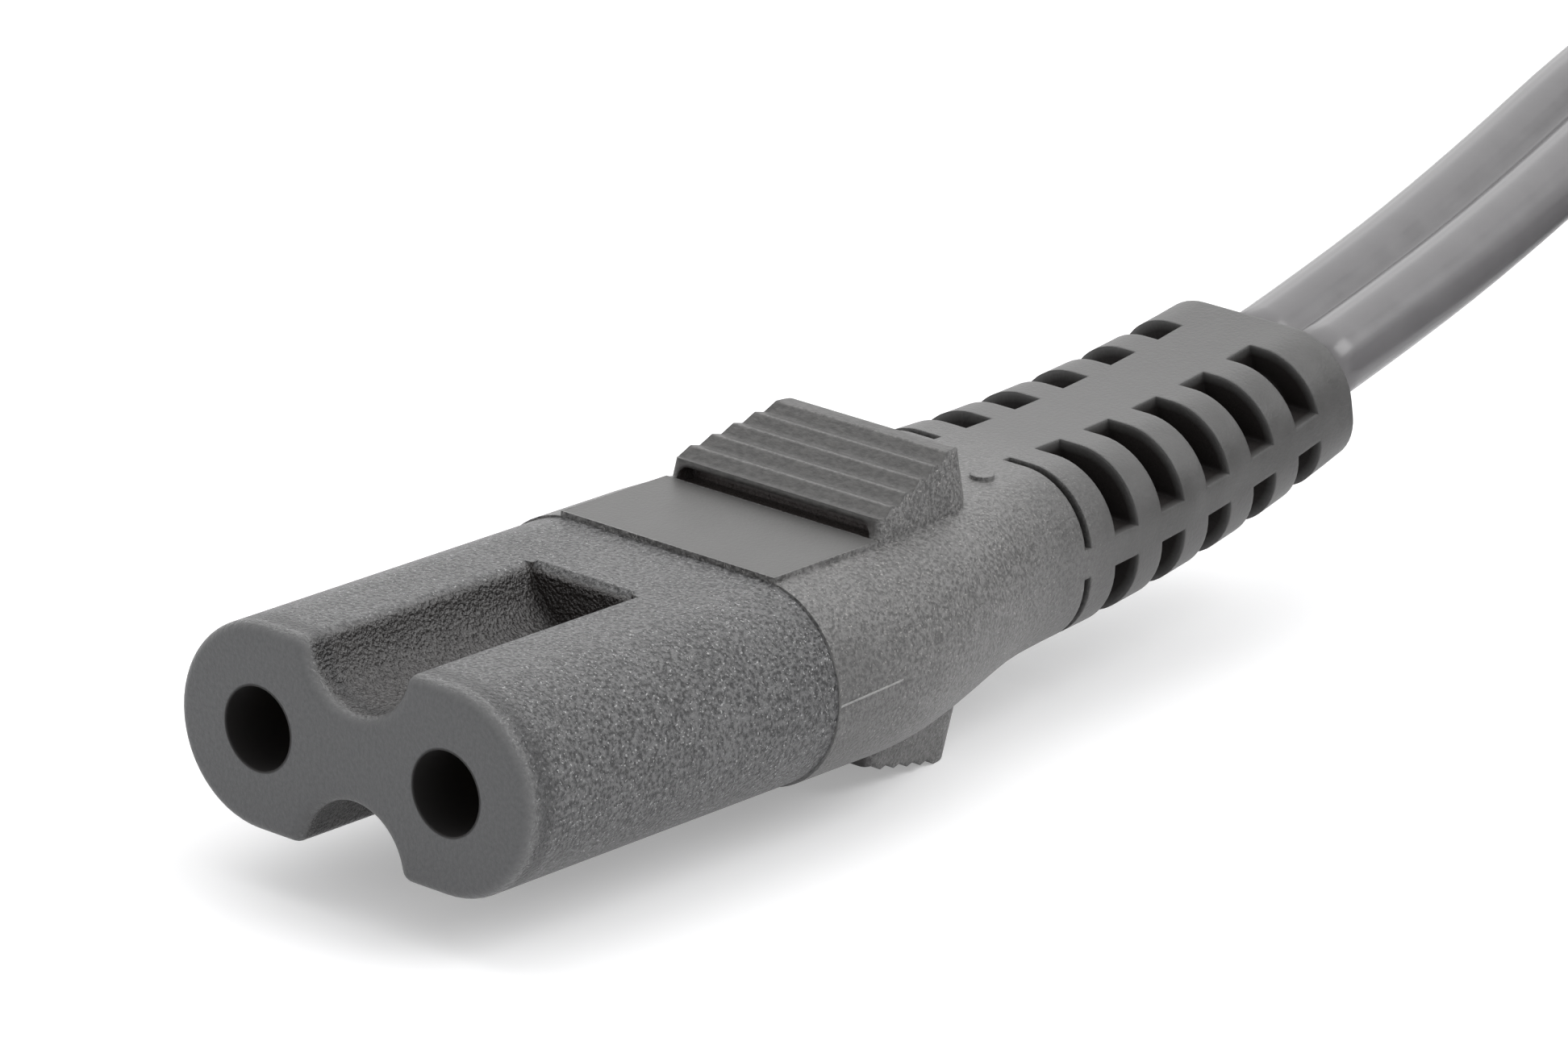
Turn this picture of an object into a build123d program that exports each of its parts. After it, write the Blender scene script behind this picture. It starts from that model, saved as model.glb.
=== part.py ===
from build123d import *
import os
from math import atan, cos, degrees, radians, sin, tan

# Flat two-pole appliance connector on a figure-8 cord that ends in a flat two-pin plug.
# Frame: millimetres, origin at the middle of the mating face, +X out of that face,
# +Y across the two pin holes, +Z up. A depth is measured from the mating face towards -X.

# Nose insert: two round lobes with a groove above and below
PIN_PITCH = 8.6
LOBE_R = 3.72
NOSE_LEN = 15.95
FACE_EDGE_R = 0.45
BORE_R = 1.5
BORE_LEN = 3.4
GROOVE_R = 2.3
GROOVE_RISE = 0.15
GROOVE_LEN = 11.5
GROOVE_EDGE_R = 0.5
GROOVE_END_BEVEL = 0.45

# Tang of the insert, gripped by the overmould
TANG_LEN = 5.6
TANG_INSET = 1.1
WINDOW_START = 1.5
WINDOW_LEN = 2.2
WINDOW_W = 3.0

# Overmould: a body that narrows into the neck, which bends up with the cord
BODY_STEP = 0.05
BODY_STRAIGHT = 4.0
SHOULDER_LEN = 13.0
SHOULDER_STATIONS = 6
BODY_CORNER_SHARE = 0.97
NECK_START = 31.0
NECK_RISE = 0.3
NECK_BEND_R = 84.0
NECK_LEN = 19.3
NECK_STATIONS = 4
NECK_FRONT_W = 11.0
NECK_FRONT_H = 6.5
NECK_END_W = 9.0
NECK_END_H = 5.5
NECK_CORNER_SHARE = 0.88
COLLAR_BEVEL = 0.45

# Smooth pad and ribbed thumb block, the same above and below
PAD_W = 9.8
PAD_RISE = 0.15
BLOCK_START = 21.6
BLOCK_LEN = 6.4
BLOCK_W = 9.9
BLOCK_REAR_W = 8.2
BLOCK_DRAFT_ANGLE = 10.0
FIRST_TIP_RISE = 0.89
TEETH = 5
TOOTH_PITCH = 0.96
TOOTH_RISE = 0.24
TOOTH_RUN = 0.45
TOOTH_DIP = 0.1
TIP_R = 0.1
PLATEAU_LEN = 0.85
BLOCK_REAR_R = 1.5
BLOCK_FRONT_R = 0.5
PLATEAU_EDGE_R = 0.45
RECESS_DEPTH = 1.0
RECESS_H = 0.5
RECESS_WALL = 0.5

# Round mould mark on top, behind the thumb block
PIP_AT = (30.4, 2.4)
PIP_R = 0.45
PIP_TOP = 3.74

# Strain relief slots, one in each quarter
SLOTS = 5
SLOT_FIRST = 4.3
SLOT_PITCH = 2.92
SLOT_LEN = 1.45
SHOULDER_SLOT_AT = 1.85
SHOULDER_SLOT_LEN = 0.4
SHOULDER_SLOT_DEPTH = 0.55
TOP_WEB = 3.2
SIDE_WEB = 1.1
SIDE_WEB_RISE = 0.2
SLOT_FLOOR_WALL = 0.3

# Cord: two round lobes side by side, with the copper in their middles
LOBE_D = 2.95
CORD_WEB = 1.3
CORE_D = 2.3
COPPER_D = 1.1
CORE_END_RUN = 1.6
CORE_BEND_SHARE = 0.6

# Socket contacts, rolled from strip with an open seam
SOCKET_R = 1.25
STRIP = 0.4
SOCKET_GAP = 0.1
CHAMBER_PLAY = 0.05
THROAT_LEN = 2.0
CRIMP_LEN = 3.6
FLARE_LEN = 0.9
CORE_GRIP_LEN = 2.2
GRIP_BEYOND_TANG = 0.15
CONTACT_SEAM = 0.5
CORE_LEAD = 2.0

# Straight stretch of cord beyond the neck and beyond the plug
EXIT_RUN = 7.0
PLUG_EXIT_RUN = 13.4

# Height of the cord's ends above the coil's top turns
LEAD_LANDING = 2.4
TAIL_LANDING = 0.1

# Cord coil: turns stacked in an outer and an inner column
COIL_X = -103.0
COIL_Y = 32.0
COIL_MEAN_R = 31.0
OUTER_TURNS = 4
INNER_TURNS = 5
COIL_EDGE_R = 1.2

# Flat two-pin plug, lying on the coil
PLUG_AHEAD = 22.5
PLUG_ASIDE = 24.0
PLUG_W = 35.3
PLUG_H = 13.7
PLUG_CORNER = 6.0
PLUG_FRONT_LEN = 8.0
PLUG_LEN = 36.0
PLUG_END_W = 9.4
PLUG_END_H = 6.2
PLUG_STATIONS = 6
PLUG_EDGE_R = 0.8
BRIDGE_W = 27.0
BRIDGE_H = 8.0
BRIDGE_LEN = 7.0
PLUG_PIN_PITCH = 18.6
PLUG_TIP_PITCH = 17.5
PLUG_PIN_LEN = 19.0
PLUG_PIN_R = 2.0
PIN_TIP_R = 1.2
SLEEVE_LEN = 10.0
SLEEVE_R = 1.75
PIN_STEM_R = 1.4
PIN_CRIMP_LEN = 4.0
PIN_CRIMP_R = 1.0
PLUG_CORE_LEAD = 1.5
PLUG_CORD_LEN = 12.0

# Sizes worked out from those above
NOSE_W = PIN_PITCH + 2 * LOBE_R
NOSE_H = 2 * LOBE_R
BODY_W = NOSE_W + 2 * BODY_STEP
BODY_H = NOSE_H + 2 * BODY_STEP
SHOULDER_START = NOSE_LEN + BODY_STRAIGHT
SHOULDER_END = SHOULDER_START + SHOULDER_LEN
PAD_TOP = BODY_H / 2 + PAD_RISE
FIRST_TIP_Z = BODY_H / 2 + FIRST_TIP_RISE
BLOCK_TOP = FIRST_TIP_Z + TEETH * TOOTH_RISE
FLOOR_Z = -BLOCK_TOP
CORD_W = 2 * LOBE_D
CORD_H = LOBE_D
CORE_Y = LOBE_D / 2
SOCKET_START = BORE_LEN + SOCKET_GAP
GRIP_END = NOSE_LEN + TANG_LEN + GRIP_BEYOND_TANG
GRIP_START = GRIP_END - CORE_GRIP_LEN
CRIMP_END = GRIP_START - FLARE_LEN
CRIMP_START = CRIMP_END - CRIMP_LEN
SOCKET_END = CRIMP_START - THROAT_LEN
CHAMBER_R = SOCKET_R + STRIP + CHAMBER_PLAY
OUTER_R = COIL_MEAN_R + CORD_W / 2
INNER_R = COIL_MEAN_R - CORD_W / 2
COIL_LOW_Z = FLOOR_Z + CORD_H / 2
OUTER_TOP_Z = COIL_LOW_Z + (OUTER_TURNS - 1) * CORD_H
INNER_TOP_Z = COIL_LOW_Z + (INNER_TURNS - 1) * CORD_H
COIL_TOP = INNER_TOP_Z + CORD_H / 2
PLUG_AT = Vector(COIL_X + PLUG_AHEAD, COIL_Y + PLUG_ASIDE, COIL_TOP + PLUG_H / 2)
PLUG_REAR = PLUG_AT - Vector(PLUG_LEN, 0, 0)

# The cord's exit from the neck, which it leaves in line with the neck's end
NECK_TURN = NECK_LEN / NECK_BEND_R
EXIT_X = -NECK_START - NECK_BEND_R * sin(NECK_TURN)
EXIT_Z = NECK_RISE + NECK_BEND_R * (1 - cos(NECK_TURN))

# The cord's route from the neck to the coil, and from the coil to the plug
LEAD_ROUTE = [
    (EXIT_X, 0.0, EXIT_Z),
    (EXIT_X - EXIT_RUN * cos(NECK_TURN), 0.0, EXIT_Z + EXIT_RUN * sin(NECK_TURN)),
    (-65.5, -0.3, 6.5),
    (-75.0, -1.0, 9.5),
    (-84.0, -1.6, 11.0),
    (-93.0, -2.0, 10.2),
    (COIL_X, COIL_Y - OUTER_R, OUTER_TOP_Z + LEAD_LANDING),
]
TAIL_ROUTE = [
    (COIL_X, COIL_Y - INNER_R, INNER_TOP_Z + TAIL_LANDING),
    (-116.5, 3.7, 7.9),
    (-129.9, 4.2, 8.3),
    (-142.0, 11.0, 8.7),
    (-149.0, 23.0, 9.6),
    (-149.0, 37.0, 11.4),
    (-142.0, 49.0, 13.8),
    (PLUG_REAR.X - PLUG_EXIT_RUN, PLUG_REAR.Y, PLUG_REAR.Z),
    tuple(PLUG_REAR),
]


def across(depth, y=0.0, z=0.0):
    """Plane across the connector's axis at this depth, its own x along +Y and its own y along +Z."""
    return Plane(origin=(-depth, y, z), x_dir=(0, 1, 0), z_dir=(1, 0, 0))


def neck_plane(run):
    """Plane across the bent neck, this far along its middle line from where the bend starts."""
    turn = run / NECK_BEND_R
    middle = (
        -NECK_START - NECK_BEND_R * sin(turn),
        0,
        NECK_RISE + NECK_BEND_R * (1 - cos(turn)),
    )
    return Plane(origin=middle, x_dir=(0, 1, 0), z_dir=(cos(turn), 0, -sin(turn)))


def rounded(width, height, share):
    """Rounded rectangle whose corner radius is a share of half its height."""
    return RectangleRounded(width, height, share * height / 2)


def between(start, end, t):
    return start + (end - start) * t


def eased(t):
    """Runs from 0 to 1 and leaves both ends level."""
    return t * t * (3 - 2 * t)


def cord_section():
    lobes = Pos(CORE_Y, 0) * Circle(LOBE_D / 2) + Pos(-CORE_Y, 0) * Circle(LOBE_D / 2)
    return lobes + Rectangle(LOBE_D, CORD_WEB)


def nose_insert():
    """Figure-8 nose with two pin bores, grooves and the tang behind it."""
    nose = extrude(across(0) * SlotOverall(NOSE_W, NOSE_H), -NOSE_LEN)
    grooved = SlotOverall(NOSE_W, NOSE_H)
    for side in (1, -1):
        grooved -= Pos(0, side * (LOBE_R + GROOVE_RISE)) * Circle(GROOVE_R)
    rims = grooved.vertices().filter_by(lambda v: abs(v.X) < 1.1 * GROOVE_R)
    grooved = fillet(rims, GROOVE_EDGE_R)
    grooves = Rectangle(2 * GROOVE_R + 4 * GROOVE_EDGE_R, 2 * NOSE_H) - grooved
    nose -= extrude(across(0) * grooves, -GROOVE_LEN)
    nose = fillet(nose.faces().sort_by(Axis.X)[-1].edges(), FACE_EDGE_R)
    for side in (1, -1):
        bevel = Box(GROOVE_END_BEVEL, 2 * GROOVE_R, GROOVE_END_BEVEL)
        nose -= Pos(-GROOVE_LEN, 0, side * LOBE_R) * Rot(0, 45, 0) * bevel
    tang_w = NOSE_W - 2 * TANG_INSET
    tang_h = NOSE_H - 2 * TANG_INSET
    tang = extrude(across(NOSE_LEN) * SlotOverall(tang_w, tang_h), -TANG_LEN)
    window_at = NOSE_LEN + WINDOW_START + WINDOW_LEN / 2
    tang -= Pos(-window_at, 0, 0) * Box(WINDOW_LEN, WINDOW_W, tang_h)
    insert = nose + tang
    for side in (1, -1):
        y = side * PIN_PITCH / 2
        insert -= extrude(across(0, y) * Circle(BORE_R), -BORE_LEN)
        insert -= extrude(across(BORE_LEN, y) * Circle(CHAMBER_R), BORE_LEN - NOSE_LEN - TANG_LEN)
    return insert


def contact(side):
    """Socket, throat, conductor crimp and insulation grip rolled from one strip."""
    outer = [
        (SOCKET_START, SOCKET_R + STRIP),
        (SOCKET_END, SOCKET_R + STRIP),
        (CRIMP_START, COPPER_D / 2 + STRIP),
        (CRIMP_END, COPPER_D / 2 + STRIP),
        (GRIP_START, CORE_D / 2 + STRIP),
        (GRIP_END, CORE_D / 2 + STRIP),
    ]
    inner = [(depth, radius - STRIP) for depth, radius in reversed(outer)]
    profile = make_face(Polyline([(-depth, 0, radius) for depth, radius in outer + inner], close=True))
    shell = revolve(profile, Axis.X)
    seam_w = CONTACT_SEAM
    reach = 2 * CHAMBER_R
    seam = Pos(-(SOCKET_START + GRIP_END) / 2, 0, -reach / 2) * Box(GRIP_END, seam_w, reach)
    return Pos(0, side * PIN_PITCH / 2, 0) * (shell - seam)


def wire_route(start_x, start_y, bend_x, end_x, end_y, end_z, side):
    """Straight out of the crimp, across towards the middle, then straight into the cord."""
    points = [
        (start_x, side * start_y, 0),
        (bend_x, side * start_y, 0),
        (end_x + CORE_END_RUN, side * end_y, end_z),
        (end_x, side * end_y, end_z),
    ]
    slant = Vector(*points[2]) - Vector(*points[1])
    turn = Vector(-1, 0, 0).get_angle(slant)
    radius = CORE_BEND_SHARE * CORE_END_RUN / tan(radians(turn / 2))
    return FilletPolyline(*points, radius=radius)


def core_route(side):
    bend_x = -GRIP_END - CORE_LEAD
    return wire_route(-CRIMP_START, PIN_PITCH / 2, bend_x, -NECK_START, CORE_Y, NECK_RISE, side)


def wire(route, radius):
    return sweep(Plane(route @ 0, z_dir=route % 0) * Circle(radius), path=route)


def behind(solid, depth):
    """The part of the solid that lies further back than this depth."""
    room = 4 * BODY_W
    return solid & Pos(-depth - room / 2, 0, 0) * Box(room, room, room)


def conductor(side):
    return wire(core_route(side), COPPER_D / 2)


def core(side):
    return behind(wire(core_route(side), CORE_D / 2), GRIP_START) - conductor(side)


def cord_in_relief():
    """The cord's own stretch inside the neck, bent with it."""
    bend_axis = Axis((-NECK_START, 0, NECK_RISE + NECK_BEND_R), (0, 1, 0))
    return revolve(neck_plane(0) * cord_section(), bend_axis, degrees(NECK_TURN))


def shoulder_section(depth):
    """Outline of the body as it narrows from the nose's size to the neck's."""
    t = eased((depth - SHOULDER_START) / SHOULDER_LEN)
    width = between(BODY_W, NECK_FRONT_W, t)
    height = between(BODY_H, NECK_FRONT_H, t)
    return rounded(width, height, between(BODY_CORNER_SHARE, NECK_CORNER_SHARE, t))


def neck_section(run):
    """Outline of the neck, which narrows steadily from the shoulder to the collar."""
    start = SHOULDER_END - NECK_START
    t = (run - start) / (NECK_LEN - start)
    width = between(NECK_FRONT_W, NECK_END_W, t)
    height = between(NECK_FRONT_H, NECK_END_H, t)
    return rounded(width, height, NECK_CORNER_SHARE)


def body_and_neck():
    body = extrude(across(NOSE_LEN) * rounded(BODY_W, BODY_H, BODY_CORNER_SHARE), -BODY_STRAIGHT)
    sections = []
    for i in range(SHOULDER_STATIONS):
        t = i / SHOULDER_STATIONS
        depth = between(SHOULDER_START, NECK_START, t)
        sections.append(across(depth, 0, NECK_RISE * eased(t)) * shoulder_section(depth))
    start = SHOULDER_END - NECK_START
    for i in range(NECK_STATIONS + 1):
        run = between(start, NECK_LEN, i / NECK_STATIONS)
        sections.append(neck_plane(run) * neck_section(run))
    neck = loft(sections)
    collar = neck.faces().sort_by(Axis.X)[0]
    neck = chamfer(collar.edges(), COLLAR_BEVEL)
    return body + neck


def slot_ring(run, length, floor_w, floor_h):
    """Cutter for the four quarter slots at one place along the neck."""
    reach = 2 * NECK_FRONT_W
    ring = Rectangle(reach, reach) - RectangleRounded(floor_w, floor_h, floor_h * 0.45)
    ring -= Rectangle(TOP_WEB, reach)
    ring -= Pos(0, SIDE_WEB_RISE) * Rectangle(reach, SIDE_WEB)
    return extrude(neck_plane(run) * ring, length / 2, both=True)


def relief_slots():
    floor_w = CORD_W + 2 * SLOT_FLOOR_WALL
    floor_h = CORD_H + 2 * SLOT_FLOOR_WALL
    for i in range(SLOTS):
        yield slot_ring(SLOT_FIRST + i * SLOT_PITCH, SLOT_LEN, floor_w, floor_h)
    shallow_w = NECK_FRONT_W - 2 * SHOULDER_SLOT_DEPTH
    shallow_h = NECK_FRONT_H - 2 * SHOULDER_SLOT_DEPTH
    yield slot_ring(SHOULDER_SLOT_AT, SHOULDER_SLOT_LEN, shallow_w, shallow_h)


def thumb_block():
    """Pad and ribbed wedge on top of the body, with the recess under its first rib."""
    root = BODY_H / 4
    pad_len = BLOCK_START - NOSE_LEN
    pad = Pos(-NOSE_LEN - pad_len / 2, 0, (PAD_TOP + root) / 2) * Box(pad_len, PAD_W, PAD_TOP - root)
    front = -BLOCK_START
    rear = front - BLOCK_LEN
    teeth = [(front, 0, FIRST_TIP_Z)]
    for i in range(TEETH):
        x = front - i * TOOTH_PITCH
        z = FIRST_TIP_Z + i * TOOTH_RISE
        teeth.append((x - TOOTH_RUN, 0, z - TOOTH_DIP))
        teeth.append((x - TOOTH_PITCH, 0, z + TOOTH_RISE))
    plateau_end = front - TEETH * TOOTH_PITCH - PLATEAU_LEN
    outline = Polyline(
        [(front, 0, root)] + teeth + [(plateau_end, 0, BLOCK_TOP), (rear, 0, PAD_TOP), (rear, 0, root)],
        close=True,
    )
    side_view = make_face(outline)
    tips = side_view.vertices().filter_by(lambda v: PAD_TOP < v.Z and v.X > plateau_end + TIP_R)
    side_view = fillet(tips, TIP_R)
    plateau_edge = side_view.vertices().filter_by(lambda v: v.Z > PAD_TOP).sort_by(Axis.X)[0]
    side_view = fillet(plateau_edge, PLATEAU_EDGE_R)
    wedge = extrude(side_view, BLOCK_W, both=True)
    plan = make_face(
        Polyline(
            [
                (front, BLOCK_W / 2, PAD_TOP),
                (rear, BLOCK_REAR_W / 2, PAD_TOP),
                (rear, -BLOCK_REAR_W / 2, PAD_TOP),
                (front, -BLOCK_W / 2, PAD_TOP),
            ],
            close=True,
        )
    )
    plan = fillet(plan.vertices().sort_by(Axis.X)[:2], BLOCK_REAR_R)
    plan = fillet(plan.vertices().sort_by(Axis.X)[-2:], BLOCK_FRONT_R)
    rise = BLOCK_TOP - PAD_TOP
    top_plan = Pos(0, 0, rise) * offset(plan, amount=-rise * tan(radians(BLOCK_DRAFT_ANGLE)))
    above = loft([plan, top_plan])
    below = extrude(plan, PAD_TOP - root, dir=(0, 0, -1))
    block = wedge & (above + below)
    recess_w = BLOCK_W - 2 * RECESS_WALL
    recess = across(BLOCK_START, 0, PAD_TOP) * SlotOverall(recess_w, 2 * RECESS_H)
    block -= extrude(recess, -RECESS_DEPTH)
    return pad + block


def grip_overmould(insert, inner_pieces):
    grip = body_and_neck()
    block = thumb_block()
    grip += block
    grip += mirror(block, Plane.XY)
    grip += Pos(-PIP_AT[0], PIP_AT[1], PIP_TOP / 2) * Cylinder(PIP_R, PIP_TOP)
    for slot in relief_slots():
        grip -= slot
    grip -= insert
    for y in (PIN_PITCH / 2, -PIN_PITCH / 2):
        grip -= extrude(across(NOSE_LEN, y) * Circle(CHAMBER_R), -TANG_LEN)
    for piece in inner_pieces:
        grip -= piece
    return grip


def tube(points):
    """Cord along straight runs joined by arcs as large as the runs on both sides allow."""
    corners = [Vector(*p) for p in points]
    radii = []
    for before, corner, after in zip(corners, corners[1:], corners[2:]):
        turn = (corner - before).get_angle(after - corner)
        shorter = min((corner - before).length, (after - corner).length)
        half = radians(turn / 2)
        radii.append(0.45 * shorter * cos(half) / sin(half))
    path = FilletPolyline(*corners, radius=radii)
    start = Plane(origin=path @ 0, x_dir=Vector(0, 0, 1).cross(path % 0), z_dir=path % 0)
    solid = sweep(start * cord_section(), path=path)
    print("radii", [round(r, 1) for r in radii], "length", round(path.length, 1))
    print("volume over section times length", round(solid.volume / (cord_section().area * path.length), 4))
    return solid


def cord_coil():
    """Outer shape of the wound turns, the inner column one turn taller than the outer."""
    inner_edge = INNER_R - CORD_W / 2
    step = COIL_MEAN_R
    outer_edge = OUTER_R + CORD_W / 2
    outer_top = OUTER_TOP_Z + CORD_H / 2
    outline = Polyline(
        (inner_edge, 0, FLOOR_Z),
        (outer_edge, 0, FLOOR_Z),
        (outer_edge, 0, outer_top),
        (step, 0, outer_top),
        (step, 0, COIL_TOP),
        (inner_edge, 0, COIL_TOP),
        close=True,
    )
    ring = make_face(outline)
    ring = fillet(ring.vertices(), COIL_EDGE_R)
    return Pos(COIL_X, COIL_Y, 0) * revolve(ring, Axis.Z)


def plug_bridge(sleeves):
    bridge = extrude(across(0) * SlotOverall(BRIDGE_W, BRIDGE_H), -BRIDGE_LEN)
    for side in (1, -1):
        bridge -= pin_frame(side) * along_x(-2 * BRIDGE_LEN, BRIDGE_LEN, PIN_STEM_R)
    for sleeve in sleeves:
        bridge -= sleeve
    return bridge


def pin_frame(side):
    """Place of a pin's foot on the plug's face, turned so that the tips stand closer together."""
    lean = degrees(atan((PLUG_PIN_PITCH - PLUG_TIP_PITCH) / 2 / PLUG_PIN_LEN))
    return Pos(0, side * PLUG_PIN_PITCH / 2, 0) * Rot(0, 0, -side * lean)


def along_x(start, end, radius):
    return Pos((start + end) / 2, 0, 0) * Rot(0, 90, 0) * Cylinder(radius, end - start)


def plug_pin(side):
    """Brass pin with a round tip, a thinner stem and a crimp on its inner end."""
    tip = along_x(SLEEVE_LEN, PLUG_PIN_LEN, PLUG_PIN_R)
    tip = fillet(tip.edges().sort_by(Axis.X)[-1], PIN_TIP_R)
    stem = along_x(-BRIDGE_LEN, SLEEVE_LEN, PIN_STEM_R)
    crimp = along_x(-BRIDGE_LEN - PIN_CRIMP_LEN, -BRIDGE_LEN, PIN_CRIMP_R)
    crimp -= along_x(-BRIDGE_LEN - PIN_CRIMP_LEN, -BRIDGE_LEN, COPPER_D / 2)
    return pin_frame(side) * (tip + stem + crimp)


def plug_sleeve(side):
    return pin_frame(side) * (along_x(0, SLEEVE_LEN, SLEEVE_R) - along_x(0, SLEEVE_LEN, PIN_STEM_R))


def plug_conductor(side):
    """Copper from the pin's crimp to the cord."""
    lean = (PLUG_PIN_PITCH - PLUG_TIP_PITCH) / 2 / PLUG_PIN_LEN
    crimp_y = PLUG_PIN_PITCH / 2 + lean * (BRIDGE_LEN + PIN_CRIMP_LEN / 2)
    bend_x = -BRIDGE_LEN - PIN_CRIMP_LEN - PLUG_CORE_LEAD
    route = wire_route(-BRIDGE_LEN, crimp_y, bend_x, PLUG_CORD_LEN - PLUG_LEN, CORE_Y, 0, side)
    return wire(route, COPPER_D / 2), behind(wire(route, CORE_D / 2), BRIDGE_LEN + PIN_CRIMP_LEN)


def plug_body(inner_pieces):
    """Moulded body, widest at its face and drawn in to the cord."""
    body = extrude(across(0) * RectangleRounded(PLUG_W, PLUG_H, PLUG_CORNER), -PLUG_FRONT_LEN)
    body = fillet(body.faces().sort_by(Axis.X)[-1].edges(), PLUG_EDGE_R)
    sections = []
    for i in range(PLUG_STATIONS + 1):
        t = i / PLUG_STATIONS
        width = between(PLUG_W, PLUG_END_W, eased(t))
        height = between(PLUG_H, PLUG_END_H, t * t)
        corner = PLUG_CORNER / PLUG_H * height
        depth = between(PLUG_FRONT_LEN, PLUG_LEN, t)
        sections.append(across(depth) * RectangleRounded(width, height, corner))
    body += loft(sections)
    for piece in inner_pieces:
        body -= piece
    return body


def plug():
    """All the plug's pieces, in the plug's own frame with its face across x = 0."""
    pieces = {}
    crimps = []
    for name, side in (("left", -1), ("right", 1)):
        copper, wire_solid = plug_conductor(side)
        pieces[f"plug_pin_{name}"] = plug_pin(side) - wire_solid - copper
        pieces[f"plug_sleeve_{name}"] = plug_sleeve(side)
        pieces[f"plug_conductor_{name}"] = copper
        pieces[f"plug_core_{name}"] = wire_solid - copper
        crimps.append(pin_frame(side) * along_x(-BRIDGE_LEN - PIN_CRIMP_LEN, -BRIDGE_LEN, PIN_CRIMP_R))
    sleeves = [piece for name, piece in pieces.items() if "sleeve" in name]
    pieces["plug_bridge"] = plug_bridge(sleeves)
    pieces["cord_in_plug"] = extrude(across(PLUG_LEN - PLUG_CORD_LEN) * cord_section(), -PLUG_CORD_LEN)
    pieces["plug_body"] = plug_body(list(pieces.values()) + crimps)
    return {name: Pos(PLUG_AT) * piece for name, piece in pieces.items()}


def build():
    parts = {"nose_insert": nose_insert()}
    for name, side in (("left", -1), ("right", 1)):
        parts[f"contact_{name}"] = contact(side)
        parts[f"conductor_{name}"] = conductor(side)
        parts[f"core_{name}"] = core(side)
    parts["cord_in_relief"] = cord_in_relief()
    inner = [piece for name, piece in parts.items() if name != "nose_insert"]
    parts["grip_overmould"] = grip_overmould(parts["nose_insert"], inner)
    parts["cord_coil"] = cord_coil()
    parts["cord_lead"] = tube(LEAD_ROUTE) - parts["cord_coil"]
    parts["cord_tail"] = tube(TAIL_ROUTE) - parts["cord_coil"]
    parts.update(plug())
    return parts


os.makedirs("parts", exist_ok=True)
for node, shape in build().items():
    export_step(shape, f"parts/{node}.step")
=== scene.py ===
import math
import bpy
import bmesh
import numpy as np
from mathutils import Matrix, Vector


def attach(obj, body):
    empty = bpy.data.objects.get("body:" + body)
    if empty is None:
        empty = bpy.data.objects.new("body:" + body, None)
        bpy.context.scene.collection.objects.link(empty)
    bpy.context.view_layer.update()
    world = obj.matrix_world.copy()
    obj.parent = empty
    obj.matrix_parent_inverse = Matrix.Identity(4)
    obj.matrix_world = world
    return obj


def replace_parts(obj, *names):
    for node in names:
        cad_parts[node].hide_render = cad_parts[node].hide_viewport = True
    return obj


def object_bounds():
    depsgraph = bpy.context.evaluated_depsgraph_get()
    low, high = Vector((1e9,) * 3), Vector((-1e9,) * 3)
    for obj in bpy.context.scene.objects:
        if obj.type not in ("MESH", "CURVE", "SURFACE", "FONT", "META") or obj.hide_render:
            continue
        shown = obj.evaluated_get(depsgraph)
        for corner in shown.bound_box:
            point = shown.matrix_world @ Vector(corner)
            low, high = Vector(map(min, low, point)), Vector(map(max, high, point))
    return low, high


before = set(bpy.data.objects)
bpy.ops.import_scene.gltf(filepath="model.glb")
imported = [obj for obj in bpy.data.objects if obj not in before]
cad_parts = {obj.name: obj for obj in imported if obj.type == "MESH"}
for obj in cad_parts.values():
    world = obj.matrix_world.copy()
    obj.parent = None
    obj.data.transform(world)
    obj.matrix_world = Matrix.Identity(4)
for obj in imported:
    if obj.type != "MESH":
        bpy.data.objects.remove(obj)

cadLow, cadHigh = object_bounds()
scene = bpy.context.scene
millimetre = 0.001


cameraSettings = {
    "target": (-30.0, 0.0, 0.0), "distance": 328.29, "across": 4.842, "rise": -1.319,  # in mm
    "azimuth": 129.52, "elevation": 18.876, "roll": 2.372,
    "focalPixels": 11314.6, "imageWidth": 1944, "sensorWidth": 36.0,
    "near": 0.01, "far": 20.0,  # in metres
}


# The camera stands back from the target along the two angles, rolled about its line of sight, and moved
# in its picture plane until the target is this far across and up from the middle
def placeCamera(c):
    azimuth, elevation = math.radians(c["azimuth"]), math.radians(c["elevation"])
    back = Vector((
        math.sin(azimuth) * math.cos(elevation),
        -math.cos(azimuth) * math.cos(elevation),
        math.sin(elevation),
    ))
    right = Vector((0, 0, 1)).cross(back).normalized()
    up = back.cross(right)
    roll = math.radians(c["roll"])
    sideways = right * math.cos(roll) + up * math.sin(roll)
    upwards = up * math.cos(roll) - right * math.sin(roll)
    place = Vector(c["target"]) + back * c["distance"] - sideways * c["across"] - upwards * c["rise"]
    data = bpy.data.cameras.new("photoCamera")
    data.sensor_width = c["sensorWidth"]
    data.lens = c["focalPixels"] / c["imageWidth"] * c["sensorWidth"]
    data.clip_start, data.clip_end = c["near"], c["far"]
    camera = bpy.data.objects.new("photoCamera", data)
    scene.collection.objects.link(camera)
    turn = Matrix((sideways, upwards, back)).transposed().to_4x4()
    camera.matrix_world = Matrix.Translation(place * millimetre) @ turn
    scene.camera = camera


placeCamera(cameraSettings)
print("camera placed")


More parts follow.
